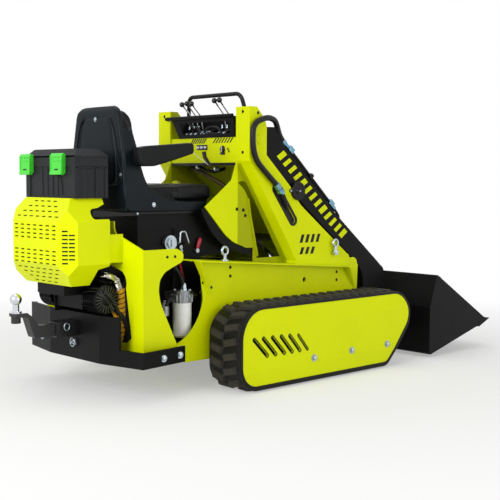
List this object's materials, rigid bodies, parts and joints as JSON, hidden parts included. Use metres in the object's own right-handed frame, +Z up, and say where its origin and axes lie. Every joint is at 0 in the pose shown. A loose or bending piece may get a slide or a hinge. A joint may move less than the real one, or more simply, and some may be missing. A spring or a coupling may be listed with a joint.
{
  "type": "ride-on mini skid steer loader",
  "caption": "Ride-on tracked mini skid steer loader with rear seat, side towers, two lift arms and a front bucket.",
  "frame": {"origin": "centre of the bounding box, on the ground", "axes": "+X forward, +Y to the machine's left, +Z up"},
  "size_m": [2.719, 1.128, 1.348],
  "materials": {
    "yellow_paint": "satin",
    "black_paint": "satin",
    "rubber": "matte",
    "chrome": "polished",
    "zinc": "satin",
    "rod_chrome": "polished",
    "cast": "matte",
    "vinyl": "satin",
    "black_plastic": "matte",
    "green_plastic": "gloss",
    "white_paint": "gloss",
    "orange_wrap": "matte"
  },
  "bodies": {
    "machine": {"chassis": "yellow_paint", "track_right": "rubber", "track_left": "rubber", "track_cover_right": "yellow_paint", "track_cover_left": "yellow_paint", "track_frame_right": "black_paint", "track_frame_left": "black_paint", "tower_right": "yellow_paint", "tower_left": "yellow_paint", "dash_panel": "yellow_paint", "front_panel": "yellow_paint", "lever_box": "black_paint", "control_levers": "black_plastic", "grab_bar": "black_paint", "support_right": "yellow_paint", "support_left": "yellow_paint", "engine_guard": "yellow_paint", "rear_bumper": "black_paint", "tow_hitch": "chrome", "engine_block": "cast", "oil_filter": "white_paint", "wrapped_hose": "orange_wrap", "seat_base": "black_paint", "seat_plate": "black_paint", "foot_plate": "black_paint", "seat_shell": "black_plastic", "back_cushion": "vinyl", "seat_cushion": "vinyl", "armrests": "vinyl", "toolbox_body": "black_plastic", "toolbox_latches": "green_plastic", "eye_bolts": "zinc", "service_fittings": "zinc", "arm_hose": "rubber"},
    "arms": {"lift_arms": "black_paint", "arm_tubes": "zinc"},
    "lift_barrel_r": {"lift_barrel_right": "black_paint"},
    "lift_barrel_l": {"lift_barrel_left": "black_paint"},
    "lift_rod_r": {"lift_rod_right": "rod_chrome"},
    "lift_rod_l": {"lift_rod_left": "rod_chrome"},
    "tilt_cylinder": {"tilt_barrel": "black_paint"},
    "tilt_piston": {"tilt_rod": "rod_chrome"},
    "tool": {"quick_attach": "black_paint", "bucket": "black_paint"},
    "lid": {"toolbox_lid": "black_plastic"}
  },
  "joints": [
    {"name": "arm_lift", "type": "hinge", "parent": "machine", "child": "arms", "pos_m": [-0.25, 0, 1.12], "axis": [0, -1, 0], "range_deg": [0, 66], "deforming": ["arm_hose"]},
    {"name": "bucket_tilt", "type": "hinge", "parent": "arms", "child": "tool", "pos_m": [0.62, 0, 0.17], "axis": [0, 1, 0], "range_deg": [-12, 60]},
    {"name": "lift_barrel_swing_r", "type": "hinge", "parent": "machine", "child": "lift_barrel_r", "pos_m": [0.075, -0.288, 0.4], "axis": [0, -1, 0], "range_deg": [-8.6, 0.2]},
    {"name": "lift_rod_slide_r", "type": "slide", "parent": "lift_barrel_r", "child": "lift_rod_r", "axis": [-0.1486, 0, 0.9889], "range_m": [-0.001, 0.37]},
    {"name": "lift_barrel_swing_l", "type": "hinge", "parent": "machine", "child": "lift_barrel_l", "pos_m": [0.075, 0.288, 0.4], "axis": [0, -1, 0], "range_deg": [-8.6, 0.2]},
    {"name": "lift_rod_slide_l", "type": "slide", "parent": "lift_barrel_l", "child": "lift_rod_l", "axis": [-0.1486, 0, 0.9889], "range_m": [-0.001, 0.37]},
    {"name": "tilt_barrel_swing", "type": "hinge", "parent": "arms", "child": "tilt_cylinder", "pos_m": [0.29, 0, 0.722], "axis": [0, 1, 0], "range_deg": [-0.8, 3.6]},
    {"name": "tilt_rod_slide", "type": "slide", "parent": "tilt_cylinder", "child": "tilt_piston", "axis": [0.7865, 0, -0.6177], "range_m": [-0.049, 0.242]},
    {"name": "lid_open", "type": "hinge", "parent": "machine", "child": "lid", "pos_m": [-0.996, 0, 1.01215], "axis": [0, 1, 0], "range_deg": [0, 90]}
  ],
  "couplings": [
    {"joint": "lift_barrel_swing_r", "follows": "arm_lift", "ratio": -0.12756},
    {"joint": "lift_rod_slide_r", "follows": "arm_lift", "m_per_rad": 0.32009},
    {"joint": "lift_barrel_swing_l", "follows": "arm_lift", "ratio": -0.12756},
    {"joint": "lift_rod_slide_l", "follows": "arm_lift", "m_per_rad": 0.32009},
    {"joint": "tilt_barrel_swing", "follows": "bucket_tilt", "ratio": 0.058462},
    {"joint": "tilt_rod_slide", "follows": "bucket_tilt", "m_per_rad": 0.22961}
  ]
}
